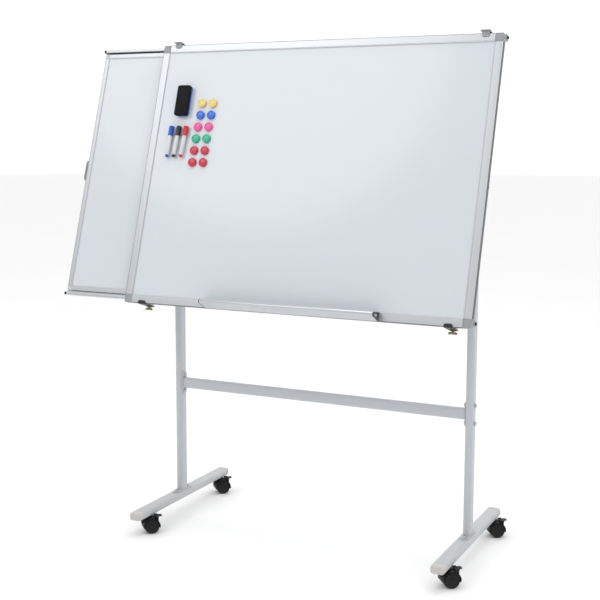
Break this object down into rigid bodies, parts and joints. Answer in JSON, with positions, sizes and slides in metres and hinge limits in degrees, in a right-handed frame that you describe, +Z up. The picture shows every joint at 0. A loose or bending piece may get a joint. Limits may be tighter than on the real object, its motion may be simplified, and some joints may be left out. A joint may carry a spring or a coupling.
{
  "type": "rolling whiteboard",
  "caption": "Framed magnetic whiteboard tilting on an H-shaped stand with braked casters, a sliding side panel, a pen tray, an eraser, markers and magnets.",
  "frame": {"origin": "on the floor midway between the two posts, under the tilt axis", "axes": "+Z up; -Y is the side that people write on; +X along the board, away from the sliding side panel"},
  "size_m": [1.4712, 0.61, 1.6553],
  "materials": {
    "powder_coat": "satin light grey powder coat",
    "cap_plastic": "light warm grey moulded plastic",
    "zinc_steel": "zinc plated steel",
    "black_plastic": "black moulded nylon",
    "wheel_plastic": "dark grey nylon wheels",
    "anodised_frame": "satin anodised extrusion",
    "corner_grey": "grey moulded corner pieces",
    "hook_steel": "light grey coated steel",
    "clamp_black": "black coated steel",
    "thumb_brass": "dull brass",
    "whiteboard_enamel": "glossy white dry-wipe lacquer on steel",
    "core_board": "honeycomb board",
    "backing_steel": "galvanised steel backing",
    "handle_plastic": "grey moulded grip",
    "eraser_black": "black grip on blue felt",
    "marker_blue": "blue cap, white barrel",
    "marker_black": "black cap, white barrel",
    "marker_red": "red cap, white barrel",
    "magnet_yellow": "yellow moulded plastic",
    "magnet_blue": "blue moulded plastic",
    "magnet_pink": "pink moulded plastic",
    "magnet_green": "green moulded plastic",
    "magnet_red": "red moulded plastic"
  },
  "bodies": {
    "stand": {"left_foot": "powder_coat", "right_foot": "powder_coat", "foot_end_caps": "cap_plastic", "left_post": "powder_coat", "right_post": "powder_coat", "crossbar": "powder_coat", "stand_bolts": "zinc_steel", "stand_nuts": "zinc_steel", "caster_sockets": "black_plastic", "caster_stems": "zinc_steel", "post_heads": "black_plastic", "pivot_bolts": "zinc_steel"},
    "board": {"left_arm": "powder_coat", "right_arm": "powder_coat", "top_hooks": "hook_steel", "bottom_clamps": "clamp_black", "frame_top_rail": "anodised_frame", "frame_bottom_rail": "anodised_frame", "frame_side_rails": "anodised_frame", "frame_corner_caps": "corner_grey", "writing_sheet": "whiteboard_enamel", "board_core": "core_board", "backing_sheet": "backing_steel", "guide_channels": "anodised_frame", "channel_end_plugs": "black_plastic"},
    "side_panel": {"side_panel_frame": "anodised_frame", "side_panel_corner_caps": "corner_grey", "side_panel_sheet": "whiteboard_enamel", "side_panel_core": "core_board", "guide_bars": "anodised_frame", "runner_strips": "black_plastic", "guide_bar_knobs": "black_plastic", "side_panel_handle": "handle_plastic"},
    "tray": {"pen_tray": "anodised_frame", "tray_end_caps": "corner_grey"},
    "left_thumb_screw": {"left_thumb_screw": "thumb_brass"},
    "left_tilt_knob": {"left_tilt_knob": "black_plastic"},
    "right_thumb_screw": {"right_thumb_screw": "thumb_brass"},
    "right_tilt_knob": {"right_tilt_knob": "black_plastic"},
    "caster_lf": {"caster_lf_housing": "black_plastic"},
    "caster_lf_wheels": {"caster_lf_wheels": "wheel_plastic"},
    "caster_lf_brake": {"caster_lf_brake": "black_plastic"},
    "caster_lr": {"caster_lr_housing": "black_plastic"},
    "caster_lr_wheels": {"caster_lr_wheels": "wheel_plastic"},
    "caster_lr_brake": {"caster_lr_brake": "black_plastic"},
    "caster_rf": {"caster_rf_housing": "black_plastic"},
    "caster_rf_wheels": {"caster_rf_wheels": "wheel_plastic"},
    "caster_rf_brake": {"caster_rf_brake": "black_plastic"},
    "caster_rr": {"caster_rr_housing": "black_plastic"},
    "caster_rr_wheels": {"caster_rr_wheels": "wheel_plastic"},
    "caster_rr_brake": {"caster_rr_brake": "black_plastic"},
    "eraser": {"eraser": "eraser_black"},
    "marker_blue": {"marker_blue": "marker_blue"},
    "marker_black": {"marker_black": "marker_black"},
    "marker_red": {"marker_red": "marker_red"},
    "magnets_yellow": {"magnets_yellow": "magnet_yellow"},
    "magnets_blue": {"magnets_blue": "magnet_blue"},
    "magnets_pink": {"magnets_pink": "magnet_pink"},
    "magnets_green": {"magnets_green": "magnet_green"},
    "magnets_red": {"magnets_red": "magnet_red"}
  },
  "joints": [
    {"name": "board_tilt", "type": "hinge", "parent": "stand", "child": "board", "pos_m": [0, 0, 1.1835], "axis": [1, 0, 0], "range_deg": [-27.5, 17.5]},
    {"name": "side_panel_slide", "type": "slide", "parent": "board", "child": "side_panel", "axis": [1, 0, 0], "range_m": [0, 0.256]},
    {"name": "tray_slide", "type": "slide", "parent": "board", "child": "tray", "axis": [1, 0, 0], "range_m": [-0.2, 0.18]},
    {"name": "left_thumb_screw_turn", "type": "hinge", "parent": "board", "child": "left_thumb_screw", "pos_m": [-0.53, -0.1965, 0.76313], "axis": [0, 0.3007, 0.9537], "continuous": true},
    {"name": "left_tilt_knob_turn", "type": "hinge", "parent": "stand", "child": "left_tilt_knob", "pos_m": [-0.55, 0, 1.1835], "axis": [-1, 0, 0], "continuous": true},
    {"name": "right_thumb_screw_turn", "type": "hinge", "parent": "board", "child": "right_thumb_screw", "pos_m": [0.53, -0.1965, 0.76313], "axis": [0, 0.3007, 0.9537], "continuous": true},
    {"name": "right_tilt_knob_turn", "type": "hinge", "parent": "stand", "child": "right_tilt_knob", "pos_m": [0.55, 0, 1.1835], "axis": [1, 0, 0], "continuous": true},
    {"name": "caster_lf_swivel", "type": "hinge", "parent": "stand", "child": "caster_lf", "pos_m": [-0.53, -0.243, 0.048], "axis": [0, 0, 1], "continuous": true},
    {"name": "caster_lf_roll", "type": "hinge", "parent": "caster_lf", "child": "caster_lf_wheels", "pos_m": [-0.51444, -0.22744, 0.025], "axis": [-0.7071, 0.7071, 0], "continuous": true},
    {"name": "caster_lf_brake_press", "type": "hinge", "parent": "caster_lf", "child": "caster_lf_brake", "pos_m": [-0.50313, -0.21613, 0.039], "axis": [-0.7071, 0.7071, 0], "range_deg": [0, 12]},
    {"name": "caster_lr_swivel", "type": "hinge", "parent": "stand", "child": "caster_lr", "pos_m": [-0.53, 0.243, 0.048], "axis": [0, 0, 1], "continuous": true},
    {"name": "caster_lr_roll", "type": "hinge", "parent": "caster_lr", "child": "caster_lr_wheels", "pos_m": [-0.51444, 0.25856, 0.025], "axis": [-0.7071, 0.7071, 0], "continuous": true},
    {"name": "caster_lr_brake_press", "type": "hinge", "parent": "caster_lr", "child": "caster_lr_brake", "pos_m": [-0.50313, 0.26987, 0.039], "axis": [-0.7071, 0.7071, 0], "range_deg": [0, 12]},
    {"name": "caster_rf_swivel", "type": "hinge", "parent": "stand", "child": "caster_rf", "pos_m": [0.53, -0.243, 0.048], "axis": [0, 0, 1], "continuous": true},
    {"name": "caster_rf_roll", "type": "hinge", "parent": "caster_rf", "child": "caster_rf_wheels", "pos_m": [0.54685, -0.22886, 0.025], "axis": [-0.6428, 0.766, 0], "continuous": true},
    {"name": "caster_rf_brake_press", "type": "hinge", "parent": "caster_rf", "child": "caster_rf_brake", "pos_m": [0.55911, -0.21857, 0.039], "axis": [-0.6428, 0.766, 0], "range_deg": [0, 12]},
    {"name": "caster_rr_swivel", "type": "hinge", "parent": "stand", "child": "caster_rr", "pos_m": [0.53, 0.243, 0.048], "axis": [0, 0, 1], "continuous": true},
    {"name": "caster_rr_roll", "type": "hinge", "parent": "caster_rr", "child": "caster_rr_wheels", "pos_m": [0.54802, 0.25562, 0.025], "axis": [-0.5736, 0.8192, 0], "continuous": true},
    {"name": "caster_rr_brake_press", "type": "hinge", "parent": "caster_rr", "child": "caster_rr_brake", "pos_m": [0.56113, 0.2648, 0.039], "axis": [-0.5736, 0.8192, 0], "range_deg": [0, 12]},
    {"name": "eraser_lift_off", "type": "slide", "parent": "board", "child": "eraser", "axis": [0, -0.9537, 0.3007], "range_m": [0, 0.12]},
    {"name": "marker_blue_lift_off", "type": "slide", "parent": "board", "child": "marker_blue", "axis": [0, -0.9537, 0.3007], "range_m": [0, 0.12]},
    {"name": "marker_black_lift_off", "type": "slide", "parent": "board", "child": "marker_black", "axis": [0, -0.9537, 0.3007], "range_m": [0, 0.12]},
    {"name": "marker_red_lift_off", "type": "slide", "parent": "board", "child": "marker_red", "axis": [0, -0.9537, 0.3007], "range_m": [0, 0.12]},
    {"name": "magnets_yellow_lift_off", "type": "slide", "parent": "board", "child": "magnets_yellow", "axis": [0, -0.9537, 0.3007], "range_m": [0, 0.12]},
    {"name": "magnets_blue_lift_off", "type": "slide", "parent": "board", "child": "magnets_blue", "axis": [0, -0.9537, 0.3007], "range_m": [0, 0.12]},
    {"name": "magnets_pink_lift_off", "type": "slide", "parent": "board", "child": "magnets_pink", "axis": [0, -0.9537, 0.3007], "range_m": [0, 0.12]},
    {"name": "magnets_green_lift_off", "type": "slide", "parent": "board", "child": "magnets_green", "axis": [0, -0.9537, 0.3007], "range_m": [0, 0.12]},
    {"name": "magnets_red_lift_off", "type": "slide", "parent": "board", "child": "magnets_red", "axis": [0, -0.9537, 0.3007], "range_m": [0, 0.12]}
  ]
}
